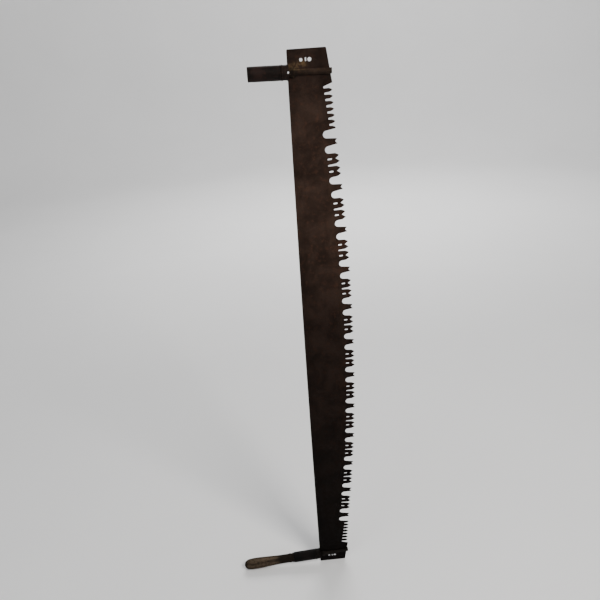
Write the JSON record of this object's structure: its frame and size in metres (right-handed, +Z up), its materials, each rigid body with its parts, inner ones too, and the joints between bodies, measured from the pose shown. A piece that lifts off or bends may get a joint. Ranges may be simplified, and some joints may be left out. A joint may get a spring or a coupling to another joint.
{
  "type": "two-man crosscut saw",
  "caption": "Long crosscut saw blade with lance and raker teeth and a screw-clamped loop handle at each end; one handle keeps its turned wooden grip, the other is an open iron socket.",
  "frame": {"origin": "middle of the blade's lower end face", "axes": "+Z up the length of the blade, +X from the back edge towards the teeth, +Y through the blade's thickness, away from the face that shows the bolt hole dimples"},
  "size_m": [0.373, 0.0335, 1.524],
  "materials": {
    "blade_steel": "rusted all over, dark brown",
    "forged_iron": "rusted forged band",
    "cast_iron": "rusted casting",
    "wrought_tube": "rusted tube",
    "fastener_iron": "rusted",
    "weathered_wood": "bare weathered wood, oil-stained near the socket"
  },
  "bodies": {
    "saw_blade": {"blade": "blade_steel"},
    "upper_saddle": {"upper_saddle_ring": "cast_iron", "upper_thrust_washer": "fastener_iron"},
    "upper_loop": {"upper_loop_strap": "forged_iron", "upper_draw_bolt": "fastener_iron", "upper_near_strap_rivet": "fastener_iron", "upper_far_strap_rivet": "fastener_iron", "upper_stop_pin": "fastener_iron"},
    "upper_socket": {"upper_socket_tube": "wrought_tube", "upper_socket_nut": "fastener_iron", "upper_nut_pin": "fastener_iron"},
    "lower_saddle": {"lower_saddle_ring": "cast_iron", "lower_thrust_washer": "fastener_iron"},
    "lower_loop": {"lower_loop_strap": "forged_iron", "lower_draw_bolt": "fastener_iron", "lower_near_strap_rivet": "fastener_iron", "lower_far_strap_rivet": "fastener_iron", "lower_stop_pin": "fastener_iron"},
    "lower_grip": {"lower_socket_tube": "wrought_tube", "lower_socket_nut": "fastener_iron", "lower_nut_pin": "fastener_iron", "lower_wooden_grip": "weathered_wood", "lower_grip_nail": "fastener_iron"}
  },
  "joints": [
    {"name": "upper_handle_slide", "type": "slide", "parent": "saw_blade", "child": "upper_saddle", "axis": [0, 0, 1], "range_m": [0, 0.03]},
    {"name": "upper_socket_turn", "type": "hinge", "parent": "upper_saddle", "child": "upper_socket", "pos_m": [-0.04089, 0, 1.4794], "axis": [-0.9998, 0, 0.0175], "range_deg": [0, 1800]},
    {"name": "upper_loop_travel", "type": "slide", "parent": "upper_saddle", "child": "upper_loop", "axis": [0.9998, 0, -0.0175], "range_m": [0, 0.0098]},
    {"name": "lower_handle_slide", "type": "slide", "parent": "saw_blade", "child": "lower_saddle", "axis": [0, 0, -1], "range_m": [0, 0.03]},
    {"name": "lower_grip_turn", "type": "hinge", "parent": "lower_saddle", "child": "lower_grip", "pos_m": [-0.0408, 0, 0.0345], "axis": [-0.9973, 0, -0.0732], "range_deg": [0, 1800]},
    {"name": "lower_loop_travel", "type": "slide", "parent": "lower_saddle", "child": "lower_loop", "axis": [0.9973, 0, 0.0732], "range_m": [0, 0.0098]}
  ],
  "couplings": [
    {"joint": "upper_loop_travel", "follows": "upper_socket_turn", "m_per_rad": 0.000311},
    {"joint": "lower_loop_travel", "follows": "lower_grip_turn", "m_per_rad": 0.000311}
  ]
}
